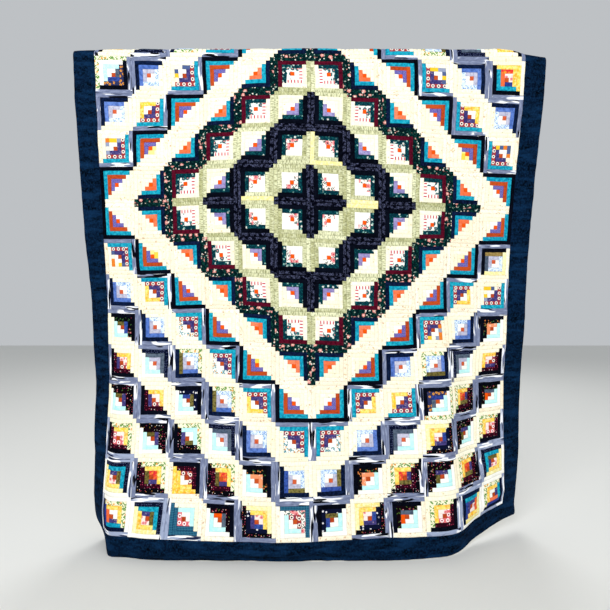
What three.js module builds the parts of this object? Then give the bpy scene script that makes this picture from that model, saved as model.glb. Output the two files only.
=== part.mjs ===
import * as THREE from 'three';

// A log cabin patchwork quilt that hangs over a rail: a long front sheet that reaches the floor
// and a shorter flap behind. Millimetres, x across the quilt, y away from its front, z up.
// The origin is the middle of the fold's underside, where the quilt rests on the rail.
//
// A place on the cloth is given by s, its distance to the right of the quilt's middle, and t,
// its distance from the quilt's middle towards the end that hangs behind.

// Cut sizes
const BLOCK = 135; // nine logs of 15 mm
const BLOCKS_ACROSS = 12;
const BLOCKS_ALONG = 18;
const BORDER = 80;
const SEAM_GAP = 0.3;
const SECTION_JOINS = [-3 * BLOCK, 3 * BLOCK, 6 * BLOCK]; // the blocks are sewn up in four sections
const THICKNESS = 4; // where the layers are sewn down
const BLOCK_PUFF = 2.5; // how far a block's middle stands above its seams
const BORDER_PUFF = 1.2;

// How it hangs
const RAIL_RADIUS = 20;
const FOLD_AT = 4.4 * BLOCK; // from the quilt's middle to the top of the fold
const FOLD_SKEW = 0.0135; // the right side hangs a little lower than the left
const FLOOR_Z = -1848;
const HEM_LEAN = 0.4; // upward part of the normal where the hem meets the floor
const DRAW_IN = 0.985; // small ripples take up this share of the width
const SWAY = 16; // the hem swings this far to the right of the fold
const LEFT_DROOP = { from: 740, over: 150, depth: 8 };
const RIGHT_DROOP = { from: 690, over: 200, depth: 30 };
const RIGHT_LIFT = { from: 475, over: 415, height: 48 }; // the hem leaves the floor at the right
const CURL_START = 90; // the left side starts to curl this far inside its border seam
const CURL_WIDTH = 60;
const CREASE = 38; // below the bottom border's seam

// Where the folds are measured across the cloth
const STATIONS = {
  left: -890, inner: -475, crest: -135, hollow: 270, shoulder: 475, bend: 650, right: 890,
};

// The folds, one row for each length of cloth below the rail: how far the cloth lies behind the
// rail's face at each station, and how many degrees its left border curls back.
const foldRow = (below, left, inner, crest, hollow, shoulder, bend, right, curl) => ({
  below, left, inner, crest, hollow, shoulder, bend, right, curl,
});
const FRONT_FOLDS = [
  foldRow(0, 0, 0, 0, 0, 0, 0, 0, 0),
  foldRow(120, 4, 12, -20, -14, 0, 6, 13, 0),
  foldRow(400, 32, 0, -38, -14, 18, 38, 62, 0),
  foldRow(930, 66, 22, -34, 0, 40, 84, 126, 12),
  foldRow(1200, 54, 6, -42, -8, 0, 74, 136, 20),
  foldRow(1470, -4, -34, -84, -50, -40, 46, 128, 31),
  foldRow(1740, -66, -110, -130, -100, -88, -2, 122, 42),
  foldRow(1809, -70, -130, -136, -114, -96, 0, 124, 52),
  foldRow(1847, -76, -114, -118, -112, -90, 6, 126, 62),
  foldRow(1889, -96, -138, -138, -138, -104, -2, 126, 76),
];
const BACK_FOLDS = [
  foldRow(0, 0, 0, 0, 0, 0, 0, 0, 0),
  foldRow(250, 28, 10, 2, 12, 24, 36, 50, 0),
  foldRow(480, 62, 24, 2, 24, 48, 70, 98, 0),
  foldRow(700, 84, 26, -4, 38, 66, 98, 140, 0),
];

const PATCH_HALF_WIDTH = (BLOCKS_ACROSS / 2) * BLOCK;
const PATCH_HALF_LENGTH = (BLOCKS_ALONG / 2) * BLOCK;
const HALF_WIDTH = PATCH_HALF_WIDTH + BORDER;
const HALF_LENGTH = PATCH_HALF_LENGTH + BORDER;
const BEND_RADIUS = RAIL_RADIUS + THICKNESS / 2;
const QUARTER_TURN = (BEND_RADIUS * Math.PI) / 2;

const ease = (v) => THREE.MathUtils.smoothstep(v, 0, 1);
const droop = (s) =>
  RIGHT_DROOP.depth * ease((s - RIGHT_DROOP.from) / RIGHT_DROOP.over) +
  LEFT_DROOP.depth * ease((-s - LEFT_DROOP.from) / LEFT_DROOP.over);
const lift = (s) => RIGHT_LIFT.height * ease((s - RIGHT_LIFT.from) / RIGHT_LIFT.over);
const foldAt = (s) => FOLD_AT + FOLD_SKEW * s - droop(s);

// A smooth curve through points (xs, ys) that never swings past them.
function curveThrough(xs, ys, x) {
  const rise = (k) => (ys[k + 1] - ys[k]) / (xs[k + 1] - xs[k]);
  const slopeAt = (k) => {
    if (k === 0) return rise(0);
    if (k === xs.length - 1) return rise(k - 1);
    const [before, after] = [rise(k - 1), rise(k)];
    if (before * after <= 0) return 0;
    const [near, far] = [xs[k] - xs[k - 1], xs[k + 1] - xs[k]];
    const [w1, w2] = [2 * far + near, far + 2 * near];
    return (w1 + w2) / (w1 / before + w2 / after);
  };
  const inside = THREE.MathUtils.clamp(x, xs[0], xs[xs.length - 1]);
  const next = xs.findIndex((v, k) => k > 0 && v >= inside);
  const k = next - 1;
  const step = xs[next] - xs[k];
  const u = (inside - xs[k]) / step;
  const [u2, u3] = [u * u, u * u * u];
  return (
    (2 * u3 - 3 * u2 + 1) * ys[k] +
    (u3 - 2 * u2 + u) * step * slopeAt(k) +
    (3 * u2 - 2 * u3) * ys[next] +
    (u3 - u2) * step * slopeAt(next)
  );
}

// One named column of a fold table, at a length of cloth below the rail.
function column(folds, name, below) {
  return curveThrough(folds.map((row) => row.below), folds.map((row) => row[name]), below);
}

function depthAt(folds, s, below) {
  const names = Object.keys(STATIONS);
  return curveThrough(Object.values(STATIONS), names.map((name) => column(folds, name, below)), s);
}

const belowRail = (s, t) => Math.max(Math.abs(foldAt(s) - t) - QUARTER_TURN, 0);
const inFront = (s, t) => t < foldAt(s);

function hangingDepth(s, t) {
  return depthAt(inFront(s, t) ? FRONT_FOLDS : BACK_FOLDS, s, belowRail(s, t));
}

function leftCurl(s, t) {
  if (!inFront(s, t)) return 0;
  const across = ease((-s - PATCH_HALF_WIDTH + CURL_START) / CURL_WIDTH);
  return -THREE.MathUtils.degToRad(column(FRONT_FOLDS, 'curl', belowRail(s, t))) * across;
}

// x and the depth behind the rail's face along one line across the quilt. The cloth keeps its
// length from one place to the next, so where it turns back its width on x shrinks.
function rowAcross(across, t) {
  const middle = across.indexOf(0);
  const swing = (s) => (inFront(s, t) ? SWAY * ((foldAt(s) - t) / (FOLD_AT + HALF_LENGTH)) ** 2 : 0);
  const walk = (from, to) => {
    const length = to - from;
    const slope = (hangingDepth(to, t) - hangingDepth(from, t)) / length;
    const angle = Math.asin(THREE.MathUtils.clamp(slope, -0.98, 0.98)) + leftCurl((from + to) / 2, t);
    return { x: Math.cos(angle) * length * DRAW_IN, depth: Math.sin(angle) * length };
  };
  const row = [];
  row[middle] = { x: 0, depth: hangingDepth(0, t) };
  for (let i = middle + 1; i < across.length; i++) {
    const step = walk(across[i - 1], across[i]);
    row[i] = { x: row[i - 1].x + step.x, depth: row[i - 1].depth + step.depth };
  }
  for (let i = middle - 1; i >= 0; i--) {
    const step = walk(across[i + 1], across[i]);
    row[i] = { x: row[i + 1].x + step.x, depth: row[i + 1].depth + step.depth };
  }
  return row.map((place, i) => ({ x: place.x + swing(across[i]), depth: place.depth }));
}

// The drop along one line down the quilt, from the fold. Where the cloth leans, it drops less.
function dropAlong(s, along, depths) {
  const drop = [0];
  for (let j = 1; j < along.length; j++) {
    const length = along[j] - along[j - 1];
    const hangs = belowRail(s, along[j]) > 0 && belowRail(s, along[j - 1]) > 0;
    const lean = hangs ? depths[j] - depths[j - 1] : 0;
    drop[j] = drop[j - 1] + Math.sqrt(Math.max(length ** 2 - lean ** 2, 0.04 * length ** 2));
  }
  const next = along.findIndex((t) => t >= foldAt(s));
  const share = (foldAt(s) - along[next - 1]) / (along[next] - along[next - 1]);
  const atFold = THREE.MathUtils.lerp(drop[next - 1], drop[next], share);
  return drop.map((d) => atFold - d);
}

// The middle of the cloth's thickness at every crossing of the lines.
function hang(across, along) {
  const rows = along.map((t) => rowAcross(across, t));
  const drops = across.map((s, i) => dropAlong(s, along, rows.map((row) => row[i].depth)));
  return along.map((t, j) =>
    across.map((s, i) => {
      const { x, depth } = rows[j][i];
      const drop = drops[i][j];
      const side = Math.sign(drop);
      if (Math.abs(drop) < QUARTER_TURN) {
        const turn = drop / BEND_RADIUS;
        const y = -BEND_RADIUS * Math.sin(turn);
        return new THREE.Vector3(x, y, BEND_RADIUS * Math.cos(turn) - RAIL_RADIUS - droop(s));
      }
      const toFloor = FLOOR_Z + (THICKNESS / 2) * HEM_LEAN + RAIL_RADIUS + droop(s);
      const slack = side > 0 ? toFloor / (QUARTER_TURN - drops[i][0]) : 1;
      const raised = side > 0 ? lift(s) * (drop / drops[i][0]) ** 4 : 0;
      const z = -RAIL_RADIUS - droop(s) + (QUARTER_TURN - Math.abs(drop)) * slack + raised;
      return new THREE.Vector3(x, depth - side * BEND_RADIUS, z);
    }),
  );
}

// Half-block lines across the patchwork, with a seam gap and two more lines in each border.
function acrossLines() {
  const half = [BLOCK / 2];
  while (half.at(-1) < PATCH_HALF_WIDTH) half.push(half.at(-1) + BLOCK / 2);
  half[half.length - 1] = PATCH_HALF_WIDTH - SEAM_GAP / 2;
  half.push(PATCH_HALF_WIDTH + SEAM_GAP / 2, PATCH_HALF_WIDTH + BORDER / 2, HALF_WIDTH);
  return [...half.map((s) => -s).reverse(), 0, ...half];
}

// Half-block lines along the patchwork, closer together over the rail.
function alongLines() {
  const foldStep = BLOCK / 14;
  const lines = [-HALF_LENGTH, -(HALF_LENGTH + PATCH_HALF_LENGTH + CREASE) / 2];
  lines.push(-PATCH_HALF_LENGTH - CREASE, -PATCH_HALF_LENGTH - CREASE / 2);
  lines.push(-PATCH_HALF_LENGTH - SEAM_GAP / 2, -PATCH_HALF_LENGTH + SEAM_GAP / 2);
  for (let t = -PATCH_HALF_LENGTH + BLOCK / 2; t < 3.75 * BLOCK; t += BLOCK / 2) lines.push(t);
  for (let k = 53; k <= 67; k++) lines.push(k * foldStep);
  for (let t = 5 * BLOCK; t < PATCH_HALF_LENGTH - 1; t += BLOCK / 2) lines.push(t);
  lines.push(PATCH_HALF_LENGTH - SEAM_GAP / 2, PATCH_HALF_LENGTH + SEAM_GAP / 2);
  lines.push(PATCH_HALF_LENGTH + BORDER / 2, HALF_LENGTH);
  const joins = (t) => SECTION_JOINS.some((join) => Math.abs(join - t) < 1);
  return lines.flatMap((t) => (joins(t) ? [t - SEAM_GAP / 2, t + SEAM_GAP / 2] : [t]));
}

// How far the front face stands above the sewn-down thickness.
function puff(s, t) {
  const rise = (v) => Math.abs(Math.sin((Math.PI * v) / BLOCK));
  const beyond = Math.max(Math.abs(s) - PATCH_HALF_WIDTH, Math.abs(t) - PATCH_HALF_LENGTH);
  if (beyond > 0) return BORDER_PUFF * Math.sin((Math.PI * beyond) / BORDER);
  return BLOCK_PUFF * rise(s) * rise(t);
}

// The next line in a direction, past the far side of a seam gap.
function neighbour(lines, k, direction) {
  const next = k + direction;
  if (next < 0 || next >= lines.length) return k;
  const past = next + direction;
  const overGap = Math.abs(lines[next] - lines[k]) < 2 * SEAM_GAP;
  return overGap && past >= 0 && past < lines.length ? past : next;
}

const ACROSS = acrossLines();
const ALONG = alongLines();
const MIDDLE_SURFACE = hang(ACROSS, ALONG);

function faceNormal(i, j) {
  const [left, right] = [neighbour(ACROSS, i, -1), neighbour(ACROSS, i, 1)];
  const [low, high] = [neighbour(ALONG, j, -1), neighbour(ALONG, j, 1)];
  const acrossStep = MIDDLE_SURFACE[j][right].clone().sub(MIDDLE_SURFACE[j][left]);
  const alongStep = MIDDLE_SURFACE[high][i].clone().sub(MIDDLE_SURFACE[low][i]);
  return acrossStep.cross(alongStep).normalize();
}

// A closed sheet over a range of lines: a puffed front face, a plain back face and four edges.
function sheetGeometry(sRange, tRange) {
  const pick = (lines, [low, high]) =>
    lines.map((v, k) => k).filter((k) => lines[k] > low - SEAM_GAP / 4 && lines[k] < high + SEAM_GAP / 4);
  const columns = pick(ACROSS, sRange);
  const rows = pick(ALONG, tRange);
  const positions = [];
  const addFace = (offset) => {
    for (const j of rows) {
      for (const i of columns) {
        const point = MIDDLE_SURFACE[j][i].clone();
        point.addScaledVector(faceNormal(i, j), offset(ACROSS[i], ALONG[j]));
        positions.push(point.x, point.y, Math.max(point.z, FLOOR_Z));
      }
    }
  };
  addFace((s, t) => THICKNESS / 2 + puff(s, t));
  addFace(() => -THICKNESS / 2);
  const [wide, long] = [columns.length, rows.length];
  const front = (i, j) => j * wide + i;
  const back = (i, j) => wide * long + front(i, j);
  const indices = [];
  const quad = (a, b, c, d) => indices.push(a, b, c, a, c, d);
  for (let j = 0; j < long - 1; j++) {
    for (let i = 0; i < wide - 1; i++) {
      quad(front(i, j), front(i + 1, j), front(i + 1, j + 1), front(i, j + 1));
      quad(back(i, j), back(i, j + 1), back(i + 1, j + 1), back(i + 1, j));
    }
  }
  // Facing edges are split along the same diagonals, so that they run side by side.
  for (let i = 0; i < wide - 1; i++) {
    quad(front(i, 0), back(i, 0), back(i + 1, 0), front(i + 1, 0));
    quad(back(i + 1, long - 1), back(i, long - 1), front(i, long - 1), front(i + 1, long - 1));
  }
  for (let j = 0; j < long - 1; j++) {
    quad(back(0, j + 1), back(0, j), front(0, j), front(0, j + 1));
    quad(front(wide - 1, j), back(wide - 1, j), back(wide - 1, j + 1), front(wide - 1, j + 1));
  }
  const geometry = new THREE.BufferGeometry();
  geometry.setAttribute('position', new THREE.Float32BufferAttribute(positions, 3));
  geometry.setIndex(indices);
  geometry.computeVertexNormals();
  return geometry;
}

const PATCH_S = [-PATCH_HALF_WIDTH + SEAM_GAP / 2, PATCH_HALF_WIDTH - SEAM_GAP / 2];
const PATCH_T = [-PATCH_HALF_LENGTH + SEAM_GAP / 2, PATCH_HALF_LENGTH - SEAM_GAP / 2];
const FULL_S = [-HALF_WIDTH, HALF_WIDTH];

const SECTION_ENDS = [-PATCH_HALF_LENGTH, ...SECTION_JOINS, PATCH_HALF_LENGTH];
const sectionT = (k) => [SECTION_ENDS[k] + SEAM_GAP / 2, SECTION_ENDS[k + 1] - SEAM_GAP / 2];

const PIECES = [
  { name: 'pieced_lower', s: PATCH_S, t: sectionT(0), colour: 0xcfc9b4 },
  { name: 'pieced_middle', s: PATCH_S, t: sectionT(1), colour: 0xcfc9b4 },
  { name: 'pieced_top', s: PATCH_S, t: sectionT(2), colour: 0xcfc9b4 },
  { name: 'pieced_flap', s: PATCH_S, t: sectionT(3), colour: 0xcfc9b4 },
  { name: 'border_left', s: [-HALF_WIDTH, -PATCH_HALF_WIDTH - SEAM_GAP / 2], t: PATCH_T, colour: 0x0b2036 },
  { name: 'border_right', s: [PATCH_HALF_WIDTH + SEAM_GAP / 2, HALF_WIDTH], t: PATCH_T, colour: 0x0b2036 },
  { name: 'border_bottom', s: FULL_S, t: [-HALF_LENGTH, -PATCH_HALF_LENGTH - SEAM_GAP / 2], colour: 0x0b2036 },
  { name: 'border_top', s: FULL_S, t: [PATCH_HALF_LENGTH + SEAM_GAP / 2, HALF_LENGTH], colour: 0x0b2036 },
];

const quilt = new THREE.Group();
for (const { name, s, t, colour } of PIECES) {
  const material = new THREE.MeshStandardMaterial({ color: colour, roughness: 0.92, metalness: 0 });
  const mesh = new THREE.Mesh(sheetGeometry(s, t), material);
  mesh.name = name;
  quilt.add(mesh);
}

export default quilt;
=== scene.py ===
import math

import bpy
import numpy as np
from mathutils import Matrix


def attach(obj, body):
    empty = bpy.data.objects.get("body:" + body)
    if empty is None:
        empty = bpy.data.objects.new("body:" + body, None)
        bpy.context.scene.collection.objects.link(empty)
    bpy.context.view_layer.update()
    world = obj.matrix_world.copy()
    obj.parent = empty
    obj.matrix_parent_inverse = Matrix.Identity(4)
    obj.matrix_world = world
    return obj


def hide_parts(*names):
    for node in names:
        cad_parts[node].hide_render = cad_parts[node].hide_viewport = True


# A log cabin patchwork quilt that hangs over a rail. The hanging surface is worked out in
# millimetres from the same sizes as the solids, and the meshes are in metres.
# A place on the cloth is given by s, its distance to the right of the quilt's middle, and t,
# its distance from the quilt's middle towards the end that hangs behind.

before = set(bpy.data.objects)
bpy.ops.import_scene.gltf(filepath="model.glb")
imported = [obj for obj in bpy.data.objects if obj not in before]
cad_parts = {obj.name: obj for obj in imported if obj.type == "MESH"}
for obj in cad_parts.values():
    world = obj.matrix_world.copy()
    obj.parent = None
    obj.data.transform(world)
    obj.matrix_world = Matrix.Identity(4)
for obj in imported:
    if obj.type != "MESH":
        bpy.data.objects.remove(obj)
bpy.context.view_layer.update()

MM = 0.001

# Cut sizes
LOG = 15.0
LOGS = 9
BLOCK = LOGS * LOG
BLOCKS_ACROSS = 12
BLOCKS_ALONG = 18
BORDER = 80.0
THICKNESS = 4.0  # where the layers are sewn down
BLOCK_PUFF = 2.5  # how far a block's middle stands above its seams
PUFF_SHARES = (0.55, 1.15)  # the least and the most of it that a block has
PUFF_SEED = 11
BORDER_PUFF = 1.2
SEAM_DITCH = 1.0  # how far the seams between logs lie below the logs
PAINTED_SEAM_SHADE = 0.26  # painted shade: how much the colour is darkened in a seam, standing in for its shadow
PAINTED_SEAM_SHADE_WIDTH = 2.0
BACK_PUFF = 1.6
EDGE_ROUND = 2.0  # the radius of the outer edge

# How it hangs
RAIL_RADIUS = 20.0
FOLD_AT = 4.4 * BLOCK
FOLD_SKEW = 0.0135  # how much further along the cloth it folds, for each step to the right
FLOOR_Z = -1848.0
HEM_LEAN = 0.4
DRAW_IN = 0.985  # the share of its width that the cloth keeps between its folds
SWAY = 16.0  # how far the hem hangs to the right
STEEPEST = 0.98  # of the slopes across, so that the cloth never doubles back
LEAST_DROP = 0.2  # the share of its length that a leaning cloth drops at least
LEFT_DROOP = (740.0, 150.0, 8.0)  # from, over, depth
RIGHT_DROOP = (690.0, 200.0, 30.0)
RIGHT_LIFT = (475.0, 415.0, 48.0)  # from, over, height at the hem
LIFT_POWER = 4  # the lift grows with this power of the way down
CURL_START = 90.0  # the left side starts to curl this far inside its border seam
CURL_WIDTH = 60.0

STATIONS = (-890.0, -475.0, -135.0, 270.0, 475.0, 650.0, 890.0)

# Cloth below the rail, depth behind the rail's face at each station, curl of the left border
FRONT_FOLDS = (
    (0, 0, 0, 0, 0, 0, 0, 0, 0),
    (120, 4, 12, -20, -14, 0, 6, 13, 0),
    (400, 32, 0, -38, -14, 18, 38, 62, 0),
    (930, 66, 22, -34, 0, 40, 84, 126, 12),
    (1200, 54, 6, -42, -8, 0, 74, 136, 20),
    (1470, -4, -34, -84, -50, -40, 46, 128, 31),
    (1740, -66, -110, -130, -100, -88, -2, 122, 42),
    (1809, -70, -130, -136, -114, -96, 0, 124, 52),
    (1847, -76, -114, -118, -112, -90, 6, 126, 62),
    (1889, -96, -138, -138, -138, -104, -2, 126, 76),
)
BACK_FOLDS = (
    (0, 0, 0, 0, 0, 0, 0, 0, 0),
    (250, 28, 10, 2, 12, 24, 36, 50, 0),
    (480, 62, 24, 2, 24, 48, 70, 98, 0),
    (700, 84, 26, -4, 38, 66, 98, 140, 0),
)

PATCH_HALF_WIDTH = BLOCKS_ACROSS / 2 * BLOCK
PATCH_HALF_LENGTH = BLOCKS_ALONG / 2 * BLOCK
HALF_WIDTH = PATCH_HALF_WIDTH + BORDER
HALF_LENGTH = PATCH_HALF_LENGTH + BORDER
BEND_RADIUS = RAIL_RADIUS + THICKNESS / 2
QUARTER_TURN = BEND_RADIUS * math.pi / 2


# The hanging surface


def ease(v):
    v = np.clip(v, 0, 1)
    return v * v * (3 - 2 * v)


def droop(s):
    right_from, right_over, right_depth = RIGHT_DROOP
    left_from, left_over, left_depth = LEFT_DROOP
    right = right_depth * ease((s - right_from) / right_over)
    return right + left_depth * ease((-s - left_from) / left_over)


def fold_at(s):
    return FOLD_AT + FOLD_SKEW * s - droop(s)


def slopes(xs, ys):
    """Slopes at the points of a smooth curve that never swings past them."""
    steps = np.diff(xs).reshape(-1, *[1] * (ys.ndim - 1))
    rise = np.diff(ys, axis=0) / steps
    before, after = rise[:-1], rise[1:]
    near, far = steps[:-1], steps[1:]
    w1, w2 = 2 * far + near, far + 2 * near
    same = before * after > 0
    safe_before, safe_after = np.where(same, before, 1), np.where(same, after, 1)
    inner = np.where(same, (w1 + w2) / (w1 / safe_before + w2 / safe_after), 0)
    return np.concatenate([rise[:1], inner, rise[-1:]])


def between(xs, x):
    """The stretch of xs that holds each x: its number, its length and how far along it x is."""
    x = np.clip(x, xs[0], xs[-1])
    k = np.clip(np.searchsorted(xs, x, side="right") - 1, 0, len(xs) - 2)
    step = xs[k + 1] - xs[k]
    return k, step, (x - xs[k]) / step


def hermite(u, step, y0, m0, y1, m1):
    u2, u3 = u * u, u * u * u
    value = (2 * u3 - 3 * u2 + 1) * y0 + (u3 - 2 * u2 + u) * step * m0
    return value + (3 * u2 - 2 * u3) * y1 + (u3 - u2) * step * m1


def down_table(table, key):
    """The columns of a table at each key, which is in its rows' first column."""
    rows = np.array(table, float)
    keys, columns = rows[:, 0], rows[:, 1:]
    k, step, u = between(keys, key)
    m = slopes(keys, columns)
    u, step = u[..., None], step[..., None]
    return np.moveaxis(hermite(u, step, columns[k], m[k], columns[k + 1], m[k + 1]), -1, 0)


def along_row(stations, values, s):
    """The smooth curve through values at the stations, at each s."""
    stations = np.array(stations)
    m = slopes(stations, values)
    k, step, u = between(stations, s)
    take = lambda a, at: np.take_along_axis(a, at[None], 0)[0]
    return hermite(u, step, take(values, k), take(m, k), take(values, k + 1), take(m, k + 1))


def fold_depth(table, s, below):
    """The depth behind the rail's face and the border's curl, for arrays of places."""
    *depths, curl = down_table(table, below)
    return along_row(STATIONS, np.array(depths), s), curl


def hang(across, along):
    """The middle of the cloth's thickness, as points[line along, line across], in millimetres."""
    s, t = np.meshgrid(across, along)
    from_fold = fold_at(s) - t
    front = from_fold > 0
    below = np.maximum(np.abs(from_fold) - QUARTER_TURN, 0)
    front_depth, curl = fold_depth(FRONT_FOLDS, s, below)
    back_depth, _ = fold_depth(BACK_FOLDS, s, below)
    depth = np.where(front, front_depth, back_depth)

    # Across: the cloth keeps its length, so where it turns back its width on x shrinks.
    step = np.diff(across)
    slope = np.clip(np.diff(depth, axis=1) / step, -STEEPEST, STEEPEST)
    middle = (across[1:] + across[:-1]) / 2
    bend = ease((-middle - PATCH_HALF_WIDTH + CURL_START) / CURL_WIDTH)
    turned = np.radians((curl[:, 1:] + curl[:, :-1]) / 2) * front[:, 1:] * bend
    angle = np.arcsin(slope) - turned
    nothing = np.zeros((len(along), 1))
    x = np.concatenate([nothing, np.cumsum(np.cos(angle) * step * DRAW_IN, axis=1)], axis=1)
    y = np.concatenate([nothing, np.cumsum(np.sin(angle) * step, axis=1)], axis=1)
    centre = int(np.argmin(np.abs(across)))
    swing = SWAY * front * (from_fold / (FOLD_AT + HALF_LENGTH)) ** 2
    x = x - x[:, centre : centre + 1] + swing
    y = y - y[:, centre : centre + 1] + depth[:, centre : centre + 1]

    # Along: where the cloth leans, it drops less.
    length = np.diff(along)[:, None]
    hangs = below > 0
    lean = np.diff(y, axis=0) * (hangs[1:] & hangs[:-1])
    steps = np.sqrt(np.maximum(length**2 - lean**2, (LEAST_DROP * length) ** 2))
    path = np.concatenate([np.zeros((1, len(across))), np.cumsum(steps, axis=0)])
    at_fold = [np.interp(fold_at(v), along, path[:, i]) for i, v in enumerate(across)]
    drop = np.array(at_fold) - path
    side = np.sign(drop)
    to_floor = FLOOR_Z + THICKNESS / 2 * HEM_LEAN + RAIL_RADIUS + droop(across)
    slack = np.where(side > 0, to_floor / (QUARTER_TURN - drop[0]), 1)
    over = np.abs(drop) < QUARTER_TURN
    turn = drop / BEND_RADIUS
    lift_from, lift_over, lift_height = RIGHT_LIFT
    way_down = np.where(side > 0, drop / drop[0], 0)
    raised = lift_height * ease((s - lift_from) / lift_over) * way_down**LIFT_POWER
    hanging_z = (QUARTER_TURN - np.abs(drop)) * slack - RAIL_RADIUS + raised
    z = np.where(over, BEND_RADIUS * np.cos(turn) - RAIL_RADIUS, hanging_z) - droop(s)
    y = np.where(over, -BEND_RADIUS * np.sin(turn), y - side * BEND_RADIUS)
    return np.stack([x, y, z], axis=-1)


# Lines of the mesh, and the small relief on the hanging surface

LOG_STEPS = (0.0, 0.15, 0.5, 0.85)  # where the lines lie in each log
BORDER_STEPS = (2.5, 6, 11, 16, 22, 28, 34, 40, 46, 52, 58, 64, 69, 74, 77, 78.4, 79.4, 80)
PER_LOG = len(LOG_STEPS)
PER_BORDER = len(BORDER_STEPS)


def lines_along(half):
    logs = np.arange(round(2 * half / LOG))[:, None] + np.array(LOG_STEPS)
    inner = np.append(logs.ravel() * LOG - half, half)
    edge = half + np.array(BORDER_STEPS)
    return np.concatenate([-edge[::-1], inner, edge])


def lumps(s, t, size, seed):
    """Smooth noise from -1 to 1, with lumps of about the given size."""
    random = np.random.default_rng(seed)
    u, v = (s + 2 * HALF_WIDTH) / size[0], (t + 2 * HALF_LENGTH) / size[1]
    heights = random.uniform(-1, 1, (int(v.max()) + 3, int(u.max()) + 3))
    i, j = u.astype(int), v.astype(int)
    fu, fv = ease(u - i), ease(v - j)
    low = heights[j, i] * (1 - fu) + heights[j, i + 1] * fu
    high = heights[j + 1, i] * (1 - fu) + heights[j + 1, i + 1] * fu
    return low * (1 - fv) + high * fv


def all_lumps(layers, s, t):
    """The layers of lumps, added up."""
    return sum(most * lumps(s, t, size, seed) for most, size, seed in layers)


# Layers of lumps: how far, their size along s and t, and the seed of their draw
RIPPLES = ((2.2, (150, 190), 31), (0.9, (52, 60), 32), (0.35, (19, 19), 33))
WANDER_RIGHT = ((1.5, (85, 85), 21), (0.7, (24, 24), 22))
WANDER_UP = ((1.5, (85, 85), 23), (0.7, (24, 24), 24))

CREASE_FADE = 0.25  # the share of its length over which a crease starts and ends

# Soft ridges and troughs: from (s, t) to (s, t), half their width, and their height
CREASES = (
    (-900, -980, -842, -420, 16, 3.0),
    (-905, -600, -850, 60, 13, -2.5),
    (-880, 120, -846, 470, 12, 2.0),
    (838, -300, 872, 240, 14, 2.6),
    (850, -900, 838, -420, 12, -2.2),
    (420, -1235, 900, -1130, 20, 4.0),
    (60, -1262, 660, -1238, 9, -4.5),
    (-780, -1244, -240, -1266, 10, -4.0),
    (-420, -1236, 80, -1252, 8, -2.5),
    (-860, -1130, -812, -880, 9, -3.0),
    (-870, -760, -830, -470, 9, -3.0),
    (520, -1190, 800, -960, 26, 3.5),
    (640, -1215, 830, -800, 18, -3.0),
    (-820, -1180, -560, -900, 24, 3.0),
    (-300, -1180, -180, -760, 30, 2.5),
    (-620, 470, -250, 520, 22, 2.0),
    (330, 500, 760, 455, 20, 2.5),
    (-90, 420, 240, 505, 26, -2.0),
    (-560, 860, -500, 1290, 28, 4.0),
    (40, 820, 90, 1290, 34, -4.0),
    (520, 840, 600, 1290, 28, 4.5),
)

# Where the blocks are pulled off their even places: around (s, t), reach across and along, how far
PULLED_UP = (
    (-800, -1000, 200, 280, -14),
    (-420, -400, 250, 500, 12),
    (250, -300, 220, 550, -8),
    (800, -450, 200, 750, -12),
)
PULLED_RIGHT = (
    (-560, -1120, 200, 150, 6),
    (100, -1000, 120, 300, -4),
    (520, -950, 120, 300, 5),
    (-650, -200, 120, 200, -6),
    (0, 400, 200, 120, 5),
)


def pulled(pulls, s, t):
    """The sum of the pulls, which die out towards the hem and the fold."""
    total = np.zeros_like(s)
    for s0, t0, across, along, most in pulls:
        total += most * np.exp(-(((s - s0) / across) ** 2) - ((t - t0) / along) ** 2)
    return total * ease((HALF_LENGTH + t) / BLOCK) * ease((FOLD_AT - t) / BLOCK)


def creases(s, t):
    height = np.zeros_like(s)
    for s0, t0, s1, t1, width, rise in CREASES:
        run_s, run_t = s1 - s0, t1 - t0
        share = ((s - s0) * run_s + (t - t0) * run_t) / (run_s**2 + run_t**2)
        near = np.clip(share, 0, 1)
        away = np.hypot(s - s0 - near * run_s, t - t0 - near * run_t)
        fade = ease(share / CREASE_FADE) * ease((1 - share) / CREASE_FADE)
        height += rise * fade * np.exp(-((away / width) ** 2))
    return height


def block_swell(s, t):
    """How far the front stands above its seams: blocks swell between them, each by its own share."""
    bs, bt = (s + PATCH_HALF_WIDTH) / BLOCK, (t + PATCH_HALF_LENGTH) / BLOCK
    own = np.random.default_rng(PUFF_SEED).uniform(*PUFF_SHARES, (BLOCKS_ALONG, BLOCKS_ACROSS))
    i = np.clip(bs.astype(int), 0, BLOCKS_ACROSS - 1)
    j = np.clip(bt.astype(int), 0, BLOCKS_ALONG - 1)
    blocks = BLOCK_PUFF * own[j, i] * np.sqrt(np.abs(np.sin(np.pi * bs) * np.sin(np.pi * bt)))
    beyond = np.maximum(np.abs(s) - PATCH_HALF_WIDTH, np.abs(t) - PATCH_HALF_LENGTH)
    border = BORDER_PUFF * np.sin(np.pi * np.clip(beyond / BORDER, 0, 1))
    return np.where(beyond > 0, border, blocks)


def edge_thickness(s, t):
    """The share of the thickness that is left near the rounded outer edge."""
    to_edge = np.minimum(HALF_WIDTH - np.abs(s), HALF_LENGTH - np.abs(t))
    short = np.clip(1 - to_edge / EDGE_ROUND, 0, 1)
    return np.sqrt(1 - short**2)


# The pieced blocks. Each has a centre and four rounds of logs, sewn on clockwise: two light logs,
# then two dark ones. The dark sides face the quilt's middle lines or away from them by turns,
# so that the blocks form diamonds.

TOP, RIGHT, BOTTOM, LEFT = range(4)
LIGHT_1, LIGHT_2, DARK_1, DARK_2 = range(4)
ROUNDS = LOGS // 2
PATCHES = 1 + 4 * ROUNDS


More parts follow.
